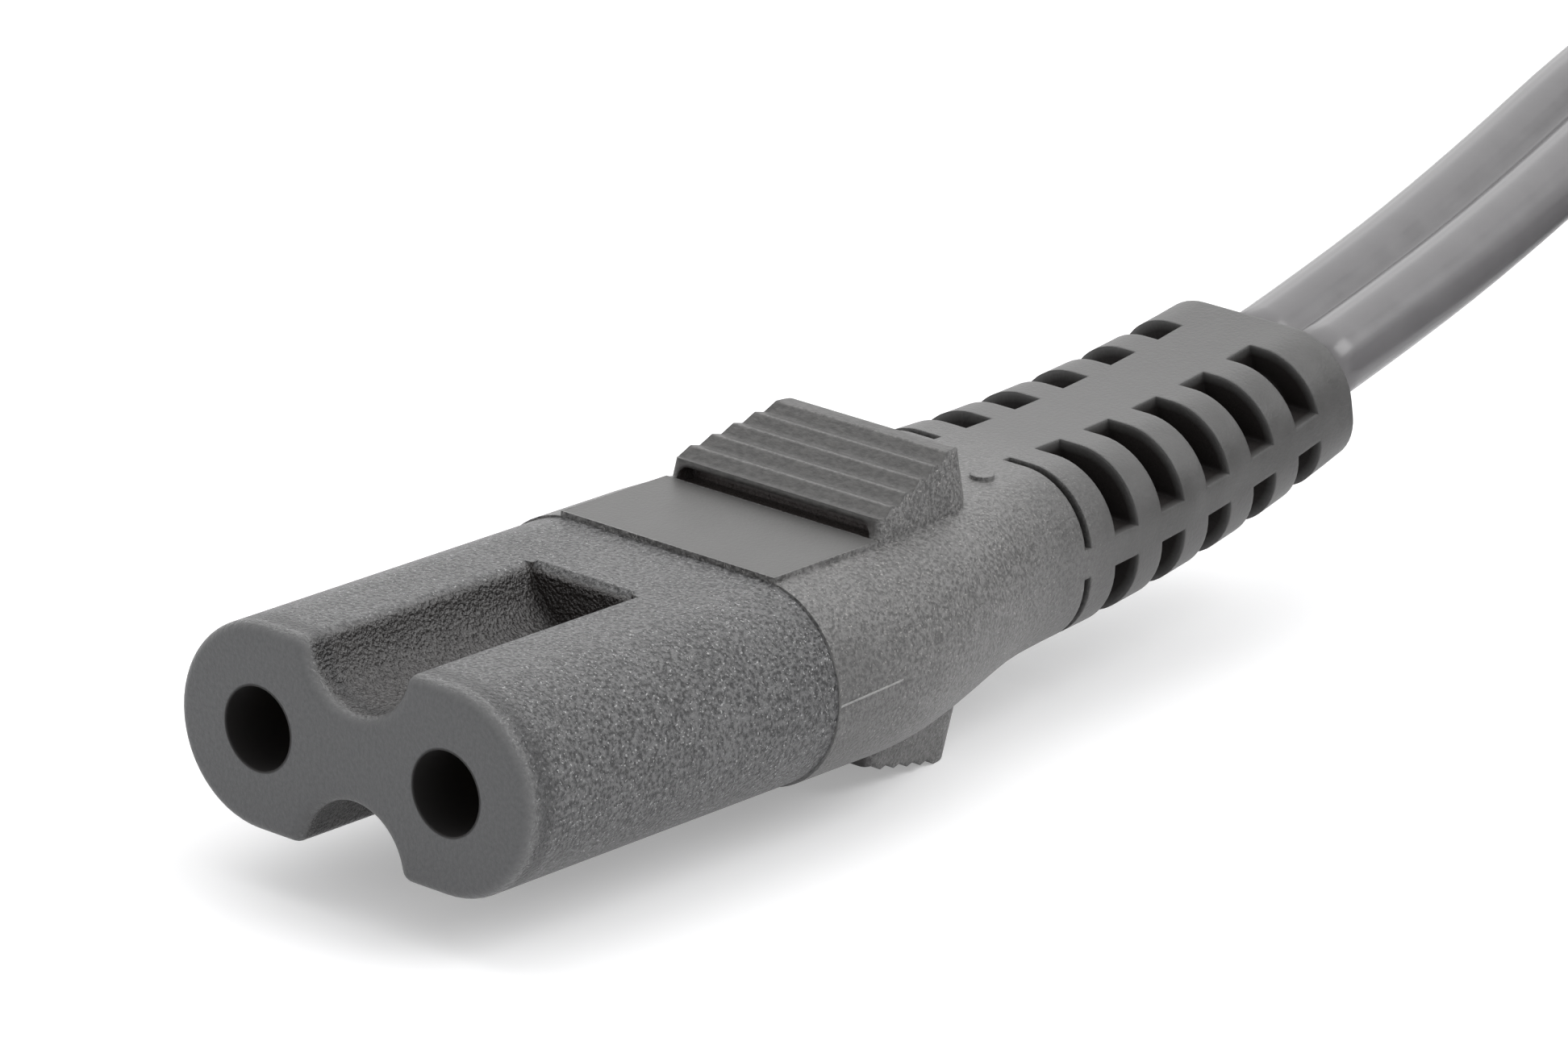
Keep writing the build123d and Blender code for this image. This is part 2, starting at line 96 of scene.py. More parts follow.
# A material with an output and one shader in it
def newMaterial(name):
    material = bpy.data.materials.new(name)
    material.use_nodes = True
    tree = material.node_tree
    tree.nodes.clear()
    output = tree.nodes.new("ShaderNodeOutputMaterial")
    shader = tree.nodes.new("ShaderNodeBsdfPrincipled")
    tree.links.new(shader.outputs["BSDF"], output.inputs["Surface"])
    return material, tree, shader


noiseWide = (0.30, 0.70)  # nearly all of a noise's values lie between these
noiseNarrow = (0.35, 0.65)  # for tones, with more contrast
noiseDetail = 3.0  # layers of a noise that shows more than its finest grain
bevelSamples = 6
crispShare = 0.125  # how much of the bevel's radius is left at the joint of nose and grip


# values are each a number or the output of another node
def addMath(tree, operation, *values):
    node = tree.nodes.new("ShaderNodeMath")
    node.operation = operation
    for socket, value in zip(node.inputs, values):
        if isinstance(value, (int, float)):
            socket.default_value = value
        else:
            tree.links.new(value, socket)
    return node.outputs[0]


def addNoise(tree, vector, scale, detail=2.0, roughness=0.5):
    noise = tree.nodes.new("ShaderNodeTexNoise")
    noise.inputs["Scale"].default_value = scale
    noise.inputs["Detail"].default_value = detail
    noise.inputs["Roughness"].default_value = roughness
    tree.links.new(vector, noise.inputs["Vector"])
    return noise.outputs["Fac"]


# Brings the value from between low and high to between toLow and toHigh, and keeps it within them
def addRange(tree, value, low, high, toLow, toHigh):
    fit = tree.nodes.new("ShaderNodeMapRange")
    fit.inputs["From Min"].default_value = low
    fit.inputs["From Max"].default_value = high
    fit.inputs["To Min"].default_value = toLow
    fit.inputs["To Max"].default_value = toHigh
    tree.links.new(value, fit.inputs["Value"])
    return fit.outputs["Result"]


# A bump of this depth in metres, over a normal if one is given
def addBump(tree, height, distance, under=None):
    bump = tree.nodes.new("ShaderNodeBump")
    bump.inputs["Distance"].default_value = distance
    tree.links.new(height, bump.inputs["Height"])
    if under is not None:
        tree.links.new(under, bump.inputs["Normal"])
    return bump.outputs["Normal"]


# Rounded normals by the edges; at the joint of nose and grip, a crisp step, the radius is smaller
def softEdges(tree, radius, atJoint=None):
    bevel = tree.nodes.new("ShaderNodeBevel")
    bevel.samples = bevelSamples
    bevel.inputs["Radius"].default_value = radius
    if atJoint is not None:
        tree.links.new(mixValues(tree, atJoint, radius, radius * crispShare), bevel.inputs["Radius"])
    return bevel.outputs["Normal"]


# low and high are each a plain colour or the output of another node; a Mix node has a set of sockets
# for each kind of data, and its colours are sockets 6 and 7
def mixColors(tree, factor, low, high):
    mix = tree.nodes.new("ShaderNodeMix")
    mix.data_type = "RGBA"
    tree.links.new(factor, mix.inputs[0])
    for socket, value in ((mix.inputs[6], low), (mix.inputs[7], high)):
        if isinstance(value, tuple):
            socket.default_value = (*value, 1.0)
        else:
            tree.links.new(value, socket)
    return mix.outputs[2]


# The same for numbers, which are sockets 2 and 3
def mixValues(tree, factor, low, high):
    mix = tree.nodes.new("ShaderNodeMix")
    for socket, value in ((mix.inputs[0], factor), (mix.inputs[2], low), (mix.inputs[3], high)):
        if isinstance(value, (int, float)):
            socket.default_value = value
        else:
            tree.links.new(value, socket)
    return mix.outputs[0]


def splitAxes(tree, vector):
    split = tree.nodes.new("ShaderNodeSeparateXYZ")
    tree.links.new(vector, split.inputs[0])
    return split.outputs["X"], split.outputs["Y"], split.outputs["Z"]


# Scaled places, so that a pattern is drawn out along the axes with a scale below 1
def stretched(tree, vector, scale):
    stretch = tree.nodes.new("ShaderNodeMapping")
    stretch.inputs["Scale"].default_value = scale
    tree.links.new(vector, stretch.inputs["Vector"])
    return stretch.outputs["Vector"]


# The axes with Y and Z made positive, for patterns that are the same on all four sides
def mirrored(tree, vector):
    x, y, z = splitAxes(tree, vector)
    return x, addMath(tree, "ABSOLUTE", y), addMath(tree, "ABSOLUTE", z)


# 1 within the box and 0 outside it; box has low and high for each axis that it limits, in mm
def insideBox(tree, axes, box, soft):
    inside = None
    for axis, (low, high) in zip(axes, box):
        middle, half = (low + high) / 2 * millimetre, (high - low) / 2 * millimetre
        away = addMath(tree, "ABSOLUTE", addMath(tree, "SUBTRACT", axis, middle))
        step = addRange(tree, away, half - soft * millimetre, half + soft * millimetre, 1.0, 0.0)
        inside = step if inside is None else addMath(tree, "MULTIPLY", inside, step)
    return inside


# 1 between two places along X, in mm
def insideSpan(tree, axes, low, high, soft):
    return insideBox(tree, axes, [(low, high)], soft)


# 1 within the radius of a line along X through this Y and Z, in mm
def insideTube(tree, axes, centre, radius, soft):
    y = addMath(tree, "SUBTRACT", axes[1], centre[0] * millimetre)
    z = addMath(tree, "SUBTRACT", axes[2], centre[1] * millimetre)
    squares = addMath(tree, "ADD", addMath(tree, "MULTIPLY", y, y), addMath(tree, "MULTIPLY", z, z))
    away = addMath(tree, "SQRT", squares)
    return addRange(tree, away, (radius - soft) * millimetre, (radius + soft) * millimetre, 1.0, 0.0)


# Moulded plastic: fine grain mixes the two tones, and shows again in the bump and the roughness
def plasticMaterial(name, p):
    material, tree, shader = newMaterial(name)
    place = tree.nodes.new("ShaderNodeTexCoord").outputs["Object"]
    broad = addNoise(tree, place, p["broadScale"], noiseDetail)
    fine = addNoise(tree, place, p["grainScale"])
    evenMix = mixValues(tree, 0.5, fine, broad)
    tone = addRange(tree, evenMix, *noiseNarrow, 0.0, 1.0)
    tree.links.new(mixColors(tree, tone, p["dark"], p["light"]), shader.inputs["Base Color"])
    tree.links.new(addRange(tree, fine, *noiseWide, *p["roughness"]), shader.inputs["Roughness"])
    normal = addBump(tree, fine, p["grainDepth"], softEdges(tree, p["edge"]))
    tree.links.new(normal, shader.inputs["Normal"])
    return material


# What the nose and the grip share: their spark-eroded grain and the crisp joint between them. Boxes,
# centres, radii and spans along X are in mm, each span with its softness; grain depths and edges in metres
sparkGrain = {
    "broadScale": 420.0, "roughness": 0.6, "broadShare": 0.12, "toneSpan": (0.40, 0.60),
    "glintScale": 11000.0, "glintDetail": 1.0, "glintSpan": (0.66, 0.72), "shine": (0.36, 0.50),
}
jointSpan = (-16.5, -15.5, 0.1)


# Broad noise and fine noise, the tone between them from 0 to 1, and glints: bright points of painted
# highlight at the peaks of finer noise
def addGrain(tree, place, scale):
    k = sparkGrain
    broad = addNoise(tree, place, k["broadScale"], noiseDetail, k["roughness"])
    fine = addNoise(tree, place, scale, noiseDetail, k["roughness"])
    tone = addRange(tree, mixValues(tree, k["broadShare"], fine, broad), *k["toneSpan"], 0.0, 1.0)
    peaks = addNoise(tree, place, k["glintScale"], k["glintDetail"])
    glints = addRange(tree, peaks, *k["glintSpan"], 0.0, 1.0)
    return broad, fine, tone, glints


nosePlastic = {
    "dark": (0.015, 0.015, 0.016), "light": (0.132, 0.132, 0.133), "glint": (0.36, 0.36, 0.36),
    "face": (0.084, 0.085, 0.087), "faceDark": (0.066, 0.067, 0.069), "holeInPaintedShade": (0.004, 0.003, 0.003),
    "grooveDark": (0.020, 0.018, 0.018), "grooveLight": (0.070, 0.067, 0.066),
    "paintedGrooveEndShade": (0.014, 0.011, 0.010), "paintedRimHighlight": (0.158, 0.158, 0.158),
    "frontSpan": (-0.25, 1.0, 0.15), "rimSpan": (-0.45, -0.12, 0.12), "paintedRimHighlightShare": 0.5,
    "shadeBehindRimSpan": (-1.3, -0.55, 0.3), "shadeBehindRimShare": 0.62,
    "grooveSpan": (-11.6, 1.0, 0.06), "paintedGrooveEndShadeSpan": (-12.6, -11.3, 0.1), "grooveScale": 7800.0,
    "grooveCentre": (0.0, 3.87), "grooveRadius": 2.42, "grooveSoft": 0.12,
    "holeCentre": (4.3, 0.0), "holeRadius": 1.56, "holeSoft": 0.03,
    "grooveShine": (0.15, 0.25), "faceShine": 0.52, "rimShine": 0.30, "holeShine": 0.7, "holeHeight": 0.5,
    "grainScale": 6400.0, "grainDepth": 0.00014, "grooveDepth": 1.15, "faceDepth": 0.3, "edge": 0.00016,
}


# Grained outside with painted glints, leathery and shinier in the grooves, smooth on the front, with a
# painted highlight on the front rim, painted shade behind it and on the groove's end wall, and black painted
# shade in the holes
def nosePlasticMaterial(n):
    material, tree, shader = newMaterial("nosePlastic")
    place = tree.nodes.new("ShaderNodeTexCoord").outputs["Object"]
    axes = mirrored(tree, place)
    front = insideSpan(tree, axes, *n["frontSpan"])
    rim = insideSpan(tree, axes, *n["rimSpan"])
    shadeBehindRim = insideSpan(tree, axes, *n["shadeBehindRimSpan"])
    alongGroove = addMath(tree, "SUBTRACT", insideSpan(tree, axes, *n["grooveSpan"]), front)
    groove = insideTube(tree, axes, n["grooveCentre"], n["grooveRadius"], n["grooveSoft"])
    groove = addMath(tree, "MULTIPLY", groove, alongGroove)
    paintedGrooveEndShade = addMath(tree, "MULTIPLY", groove, insideSpan(tree, axes, *n["paintedGrooveEndShadeSpan"]))
    holeInPaintedShade = insideTube(tree, axes, n["holeCentre"], n["holeRadius"], n["holeSoft"])

    broad, fine, tone, glints = addGrain(tree, place, n["grainScale"])
    leather = addNoise(tree, place, n["grooveScale"])
    # painted glints: bright points of painted highlight in the base colour
    color = mixColors(tree, glints, mixColors(tree, tone, n["dark"], n["light"]), n["glint"])
    leatherTone = addRange(tree, leather, *noiseNarrow, 0.0, 1.0)
    color = mixColors(tree, groove, color, mixColors(tree, leatherTone, n["grooveDark"], n["grooveLight"]))
    # painted shade on the end wall of the groove
    color = mixColors(tree, paintedGrooveEndShade, color, n["paintedGrooveEndShade"])
    # painted shade: a darker band just behind the front rim
    color = mixColors(tree, addMath(tree, "MULTIPLY", shadeBehindRim, n["shadeBehindRimShare"]), color, n["dark"])
    faceTone = addRange(tree, fine, *noiseNarrow, 0.0, 1.0)
    color = mixColors(tree, front, color, mixColors(tree, faceTone, n["faceDark"], n["face"]))
    # a painted highlight along the rim of the front face
    color = mixColors(tree, addMath(tree, "MULTIPLY", rim, n["paintedRimHighlightShare"]), color, n["paintedRimHighlight"])
    # painted shade: the holes are painted nearly black
    color = mixColors(tree, holeInPaintedShade, color, n["holeInPaintedShade"])
    tree.links.new(color, shader.inputs["Base Color"])

    inGroove = addRange(tree, leather, *noiseWide, *n["grooveShine"])
    rough = mixValues(tree, groove, addRange(tree, fine, *noiseWide, *sparkGrain["shine"]), inGroove)
    rough = mixValues(tree, front, rough, n["faceShine"])
    rough = mixValues(tree, rim, rough, n["rimShine"])
    tree.links.new(mixValues(tree, holeInPaintedShade, rough, n["holeShine"]), shader.inputs["Roughness"])

    height = mixValues(tree, groove, fine, addMath(tree, "MULTIPLY", leather, n["grooveDepth"]))
    height = addMath(tree, "MULTIPLY", height, mixValues(tree, front, 1.0, n["faceDepth"]))
    height = mixValues(tree, holeInPaintedShade, height, n["holeHeight"])
    soft = softEdges(tree, n["edge"], insideSpan(tree, axes, *jointSpan))
    tree.links.new(addBump(tree, height, n["grainDepth"], soft), shader.inputs["Normal"])
    return material


gripPlastic = {
    "dark": (0.060, 0.059, 0.058), "light": (0.165, 0.163, 0.161), "glint": (0.30, 0.29, 0.28),
    "pad": (0.098, 0.097, 0.095), "padDark": (0.078, 0.077, 0.075),
    "ribDark": (0.022, 0.021, 0.020), "rib": (0.056, 0.054, 0.052), "paintedRibTipHighlight": (0.120, 0.117, 0.114),
    "neckDark": (0.066, 0.065, 0.064), "neck": (0.092, 0.091, 0.090), "slot": (0.006, 0.004, 0.0035),
    "padBox": [(-21.55, -16.0), (-1, 4.86), (3.8, 4.2)], "boxSoft": 0.05,
    "blockBox": [(-28.6, -21.62), (-1, 5.0), (3.97, 8.0)], "ribFacing": (0.4, 0.8),
    "ribStart": -21.6, "ribPitch": 0.96, "tipWidth": 0.08, "tipHighlightPatches": (0.35, 0.60),
    "recess": (0.056, 0.046, 0.043), "recessBox": [(-23.2, -21.72), (-1, 4.5), (3.7, 4.4)],
    "recessSoft": 0.08, "slotShade": (0.08, 0.42), "grainEnds": (-35.0, -28.0),
    "seamFade": (1.6, 2.6), "seamSpan": (-19.2, -14.0, 1.6), "seamShade": 0.34,
    "stepPaintedLight": (0.200, 0.198, 0.196), "seamFacing": (0.5, 0.8),
    "neckShine": (0.40, 0.50), "padShine": 0.48, "ribShine": 0.46, "slotShine": 0.7,
    "specular": 0.5, "neckSpecular": 0.36, "padSpecular": 0.30,
    "grainScale": 6600.0, "grainDepth": 0.00010, "smoothDepth": 0.2, "ribDepth": 0.3,
    "ribStretch": (1.0, 0.6, 1.0), "ribScale": 5200.0, "edge": 0.00020,
}


# Grained near the nose with painted glints and smoother along the neck, a satin pad, dark ribs with painted
# highlights on their tips, painted shade in the recess, by the joint and nearly black in the slots, and
# painted light on the lower part of the joint's step
def gripPlasticMaterial(g):
    material, tree, shader = newMaterial("gripPlastic")
    texture = tree.nodes.new("ShaderNodeTexCoord")
    place = texture.outputs["Object"]
    axes = mirrored(tree, place)
    forwards, sideways = mirrored(tree, texture.outputs["Normal"])[:2]
    pad = insideBox(tree, axes, g["padBox"], g["boxSoft"])
    block = insideBox(tree, axes, g["blockBox"], g["boxSoft"])
    ribs = addMath(tree, "MULTIPLY", block, addRange(tree, sideways, *g["ribFacing"], 1.0, 0.0))
    recess = insideBox(tree, axes, g["recessBox"], g["recessSoft"])
    rear, front = g["grainEnds"]
    toNose = addRange(tree, axes[0], rear * millimetre, front * millimetre, 0.0, 1.0)
    grained = addMath(tree, "MULTIPLY", toNose, addMath(tree, "SUBTRACT", 1.0, pad))
    slotDepth = tree.nodes.new("ShaderNodeAttribute")
    slotDepth.attribute_name = "slotDepth"
    inSlot = addRange(tree, slotDepth.outputs["Fac"], *g["slotShade"], 0.0, 1.0)
    low, high = g["seamFade"]
    faded = addRange(tree, splitAxes(tree, place)[2], low * millimetre, high * millimetre, 1.0, 0.0)
    byJoint = addMath(tree, "MULTIPLY", insideSpan(tree, axes, *g["seamSpan"]), faded)
    atJoint = insideSpan(tree, axes, *jointSpan)
    onStep = addMath(tree, "MULTIPLY", atJoint, addRange(tree, forwards, *g["seamFacing"], 0.0, 1.0))

    broad, fine, tone, glints = addGrain(tree, place, g["grainScale"])
    alongRibs = stretched(tree, place, g["ribStretch"])
    drawn = addNoise(tree, alongRibs, g["ribScale"], noiseDetail, sparkGrain["roughness"])
    neckTone = addRange(tree, broad, *noiseNarrow, 0.0, 1.0)
    onNeck = mixColors(tree, neckTone, g["neckDark"], g["neck"])
    color = mixColors(tree, toNose, onNeck, mixColors(tree, tone, g["dark"], g["light"]))
    # painted glints: bright points of painted highlight in the base colour
    color = mixColors(tree, addMath(tree, "MULTIPLY", glints, grained), color, g["glint"])
    color = mixColors(tree, pad, color, mixColors(tree, broad, g["padDark"], g["pad"]))
    ribTone = addRange(tree, drawn, *noiseNarrow, 0.0, 1.0)
    onRibs = mixColors(tree, ribTone, g["ribDark"], g["rib"])
    # painted highlights: light lines along the rib tips, broken into patches by the fine grain
    along = addMath(tree, "SUBTRACT", g["ribStart"] * millimetre, axes[0])
    ribCount = addMath(tree, "DIVIDE", along, g["ribPitch"] * millimetre)
    nearTip = addRange(tree, addMath(tree, "PINGPONG", ribCount, 0.5), 0.0, g["tipWidth"], 1.0, 0.0)
    paintedTipHighlight = addMath(tree, "MULTIPLY", nearTip, addRange(tree, fine, *g["tipHighlightPatches"], 0.0, 1.0))
    color = mixColors(tree, ribs, color, mixColors(tree, paintedTipHighlight, onRibs, g["paintedRibTipHighlight"]))
    # painted shade in the recess under the ribbed block
    color = mixColors(tree, recess, color, g["recess"])
    # painted shade, nearly black, deep in the slots
    color = mixColors(tree, inSlot, color, g["slot"])
    color = mixColors(tree, addMath(tree, "MULTIPLY", byJoint, g["seamShade"]), color, g["dark"])
    # painted light on the forward-facing step at the joint, lower down, to lift the shade it lies in
    color = mixColors(tree, addMath(tree, "MULTIPLY", onStep, faded), color, g["stepPaintedLight"])
    tree.links.new(color, shader.inputs["Base Color"])

    smooth = addRange(tree, broad, *noiseWide, *g["neckShine"])
    rough = mixValues(tree, grained, smooth, addRange(tree, fine, *noiseWide, *sparkGrain["shine"]))
    rough = mixValues(tree, pad, rough, g["padShine"])
    rough = mixValues(tree, ribs, rough, g["ribShine"])
    tree.links.new(mixValues(tree, inSlot, rough, g["slotShine"]), shader.inputs["Roughness"])
    sheen = mixValues(tree, pad, mixValues(tree, toNose, g["neckSpecular"], g["specular"]), g["padSpecular"])
    tree.links.new(sheen, shader.inputs["Specular IOR Level"])

    height = addMath(tree, "MULTIPLY", fine, mixValues(tree, grained, g["smoothDepth"], 1.0))
    height = mixValues(tree, ribs, height, addMath(tree, "MULTIPLY", drawn, g["ribDepth"]))
    soft = softEdges(tree, g["edge"], atJoint)
    tree.links.new(addBump(tree, height, g["grainDepth"], soft), shader.inputs["Normal"])
    return material


# Plated or rolled metal: a fine grain, drawn out along X, in the colour, the roughness and the bump
def metalMaterial(name, m):
    material, tree, shader = newMaterial(name)
    place = tree.nodes.new("ShaderNodeTexCoord").outputs["Object"]
    grain = addNoise(tree, stretched(tree, place, m["stretch"]), m["grainScale"], noiseDetail)
    tree.links.new(mixColors(tree, grain, m["dark"], m["light"]), shader.inputs["Base Color"])
    tree.links.new(addRange(tree, grain, *noiseWide, *m["roughness"]), shader.inputs["Roughness"])
    tree.links.new(addBump(tree, grain, m["grainDepth"]), shader.inputs["Normal"])
    shader.inputs["Metallic"].default_value = 1.0
    return material


finishes = {
    "cordJacket": {
        "dark": (0.134, 0.130, 0.134), "light": (0.148, 0.144, 0.148), "roughness": (0.20, 0.27),
        "broadScale": 60.0, "grainScale": 900.0, "grainDepth": 0.000003, "edge": 0.0001,
    },
    "flashPlastic": {
        "dark": (0.20, 0.20, 0.20), "light": (0.32, 0.32, 0.31), "roughness": (0.35, 0.50),
        "broadScale": 2000.0, "grainScale": 9000.0, "grainDepth": 0.00003, "edge": 0.00002,
    },
    "plugPlastic": {
        "dark": (0.070, 0.070, 0.073), "light": (0.088, 0.088, 0.091), "roughness": (0.40, 0.55),
        "broadScale": 80.0, "grainScale": 4200.0, "grainDepth": 0.00004, "edge": 0.0004,
    },
    "bridgePlastic": {
        "dark": (0.050, 0.050, 0.053), "light": (0.060, 0.060, 0.063), "roughness": (0.35, 0.45),
        "broadScale": 80.0, "grainScale": 3000.0, "grainDepth": 0.00001, "edge": 0.0003,
    },
    "sleevePlastic": {
        "dark": (0.030, 0.030, 0.032), "light": (0.038, 0.038, 0.040), "roughness": (0.25, 0.35),
        "broadScale": 100.0, "grainScale": 3000.0, "grainDepth": 0.000006, "edge": 0.0002,
    },
    "coreInsulation": {
        "dark": (0.04, 0.09, 0.30), "light": (0.05, 0.11, 0.34), "roughness": (0.30, 0.40),
        "broadScale": 100.0, "grainScale": 3000.0, "grainDepth": 0.000006, "edge": 0.0001,
    },
}
metals = {
    "pinNickel": {
        "dark": (0.50, 0.49, 0.47), "light": (0.60, 0.59, 0.57), "roughness": (0.16, 0.26),
        "stretch": (0.05, 1.0, 1.0), "grainScale": 9000.0, "grainDepth": 0.000004,
    },
    "contactBrass": {
        "dark": (0.60, 0.46, 0.22), "light": (0.70, 0.56, 0.30), "roughness": (0.28, 0.40),
        "stretch": (0.05, 1.0, 1.0), "grainScale": 7000.0, "grainDepth": 0.000006,
    },
    "copperStrand": {
        "dark": (0.62, 0.28, 0.16), "light": (0.76, 0.40, 0.26), "roughness": (0.30, 0.42),
        "stretch": (0.08, 1.0, 1.0), "grainScale": 6000.0, "grainDepth": 0.00002,
    },
}
materials = {name: plasticMaterial(name, p) for name, p in finishes.items()}
materials.update({name: metalMaterial(name, m) for name, m in metals.items()})
materials["nosePlastic"] = nosePlasticMaterial(nosePlastic)
materials["gripPlastic"] = gripPlasticMaterial(gripPlastic)
nodeFinishes = {
    "contact": "contactBrass", "conductor": "copperStrand", "core": "coreInsulation",
    "cord": "cordJacket", "plug_body": "plugPlastic", "plug_bridge": "bridgePlastic",
    "plug_pin": "pinNickel", "plug_sleeve": "sleevePlastic", "plug_conductor": "copperStrand",
    "plug_core": "coreInsulation", "nose_insert": "nosePlastic", "grip_overmould": "gripPlastic",
}


# The finish under the longest word in nodeFinishes that the node's name starts with
def finishFor(node):
    longest = max((key for key in nodeFinishes if node.startswith(key)), key=len)
    return materials[nodeFinishes[longest]]


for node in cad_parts:
    for place in bpy.data.objects[node].material_slots:
        place.material = finishFor(node)
print("materials set on", len(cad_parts), "nodes")


# Smooth faces, sharp only where they meet at more than this angle. Loose triangles that already point
# outwards are joined first, and a new skin is turned to point outwards
def shadeByAngle(mesh, sharpAbove, joinWithin=0.0):
    work = bmesh.new()
    work.from_mesh(mesh)
    if joinWithin:
        bmesh.ops.remove_doubles(work, verts=work.verts, dist=joinWithin)
    else:
        bmesh.ops.recalc_face_normals(work, faces=work.faces)
    for edge in work.edges:
        edge.smooth = not edge.is_manifold or edge.calc_face_angle() < math.radians(sharpAbove)
    for face in work.faces:
        face.smooth = True
    work.to_mesh(mesh)
    work.free()


# A piece at the origin, on the one body
def addPiece(name, mesh, material):
    piece = bpy.data.objects.new(name, mesh)
    scene.collection.objects.link(piece)
    mesh.materials.clear()
    mesh.materials.append(material)
    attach(piece, "root")
    return piece


# A skin over equal rings of points, one after another: quads from each ring to the next, and either
# a flat cap at each end or, where the rings close on themselves, quads from the last to the first
def skinRings(name, rings, material, sharpAbove=180.0, closed=False):
    count, size = rings.shape[:2]
    i, j = np.meshgrid(np.arange(count if closed else count - 1), np.arange(size), indexing="ij")
    k, after = (j + 1) % size, (i + 1) % count
    quads = np.stack([i * size + j, i * size + k, after * size + k, after * size + j], axis=-1)
    caps = [] if closed else [list(range(size))[::-1], [(count - 1) * size + n for n in range(size)]]
    mesh = bpy.data.meshes.new(name)
    mesh.from_pydata(rings.reshape(-1, 3), [], quads.reshape(-1, 4).tolist() + caps)
    shadeByAngle(mesh, sharpAbove)
    return addPiece(name, mesh, material)


mouldings = {
    "noseMoulding": "nose_insert", "gripMoulding": "grip_overmould",
    "plugMoulding": "plug_body", "pinCarrier": "plug_bridge",
}
sharpAngle = 32.0
joinDistance = 0.000002
for name, node in mouldings.items():
    mesh = bpy.data.objects[node].data.copy()
    shadeByAngle(mesh, sharpAngle, joinDistance)
    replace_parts(addPiece(name, mesh, finishFor(node)), node)
print("mouldings smoothed")


neckShape = {
    "start": 31.0, "rise": 0.3, "bendRadius": 84.0, "length": 19.3, "taperStart": 1.95,
    "frontWidth": 11.0, "frontHeight": 6.5, "endWidth": 9.0, "endHeight": 5.5, "corner": 0.88,
    "lastSlotEnd": 17.3,
}


# How far each point lies inside the neck's rounded outline, in mm: its place across the bent neck,
# then the distance to a rounded rectangle that narrows along the run. The grip's material paints shade
# into the slots by this depth
def markSlots(piece, n):
    mesh = piece.data
    places = np.empty(len(mesh.vertices) * 3)
    mesh.vertices.foreach_get("co", places)
    x, y, z = places.reshape(-1, 3).T / millimetre
    back, down = -n["start"] - x, n["bendRadius"] + n["rise"] - z
    run = n["bendRadius"] * np.arctan2(back, down)
    rise = n["bendRadius"] - np.hypot(back, down)
    t = np.clip((run - n["taperStart"]) / (n["length"] - n["taperStart"]), 0, 1)
    halfWidth = (n["frontWidth"] + (n["endWidth"] - n["frontWidth"]) * t) / 2
    halfHeight = (n["frontHeight"] + (n["endHeight"] - n["frontHeight"]) * t) / 2
    corner = n["corner"] * halfHeight
    beyondY = np.abs(y) - halfWidth + corner
    beyondZ = np.abs(rise) - halfHeight + corner
    outside = np.hypot(np.maximum(beyondY, 0), np.maximum(beyondZ, 0))
    depth = corner - outside - np.minimum(np.maximum(beyondY, beyondZ), 0)
    depth = np.where((run > 0) & (run < n["lastSlotEnd"]), np.maximum(depth, 0), 0)
    mesh.attributes.new("slotDepth", "FLOAT", "POINT").data.foreach_set("value", depth.astype(np.float32))


markSlots(bpy.data.objects["gripMoulding"], neckShape)

flashLine = {
    "start": (-16.02, 8.07, 0.02), "end": (-19.4, 8.065, 0.17), "halfWidth": 0.045, "height": 0.045,
    "buried": 0.05, "points": 60, "ragged": 0.35, "waves": (61.0, 23.0), "endShare": 0.125,
}


# The thin line of flash where the mould's halves meet: a low triangle carried along a straight run. Its
# height follows the product of a sine and a cosine, and falls evenly to nothing at both ends
def flashRidge(name, f, side):
    t = np.linspace(0, 1, f["points"])
    start, end = np.array(f["start"]), np.array(f["end"])
    line = start + (end - start) * t[:, None]
    wave = np.sin(f["waves"][0] * t) * np.cos(f["waves"][1] * t)
    uneven = 1 - f["ragged"] * (0.5 + 0.5 * wave)
    height = f["height"] * uneven * np.clip(np.minimum(t, 1 - t) / f["endShare"], 0, 1)
    profile = np.array([(-f["buried"], -1.0), (0.0, -1.0), (1.0, 0.0), (0.0, 1.0), (-f["buried"], 1.0)])
    out = np.where(profile[None, :, 0] > 0, height[:, None], profile[None, :, 0])
    across = profile[None, :, 1] * f["halfWidth"]
    x = np.repeat(line[:, :1], len(profile), axis=1)
    y = side * (line[:, 1:2] + out)
    z = line[:, 2:] + across
    rings = np.stack([x, y, z], axis=-1) * millimetre
    skinRings(name, rings, materials["flashPlastic"])


flashRidge("flashRight", flashLine, 1)
flashRidge("flashLeft", flashLine, -1)
print("slots marked and flash made")

turnedPins = {
    "foot": (-80.5, 56.0, 15.74), "pitch": 18.6, "tipPitch": 17.5, "length": 19.0, "around": 64,
    "tipRadius": 1.2, "tipSteps": 10,
    "pin": [(-11.0, 1.0), (-7.0, 1.0), (-7.0, 1.4), (10.0, 1.4), (10.0, 1.88), (10.12, 2.0)],
    "pinRadius": 2.0,
    "sleeve": [(0.0, 1.42), (0.0, 1.75), (9.7, 1.75), (9.9, 1.68), (9.98, 1.55), (9.98, 1.42)],
}


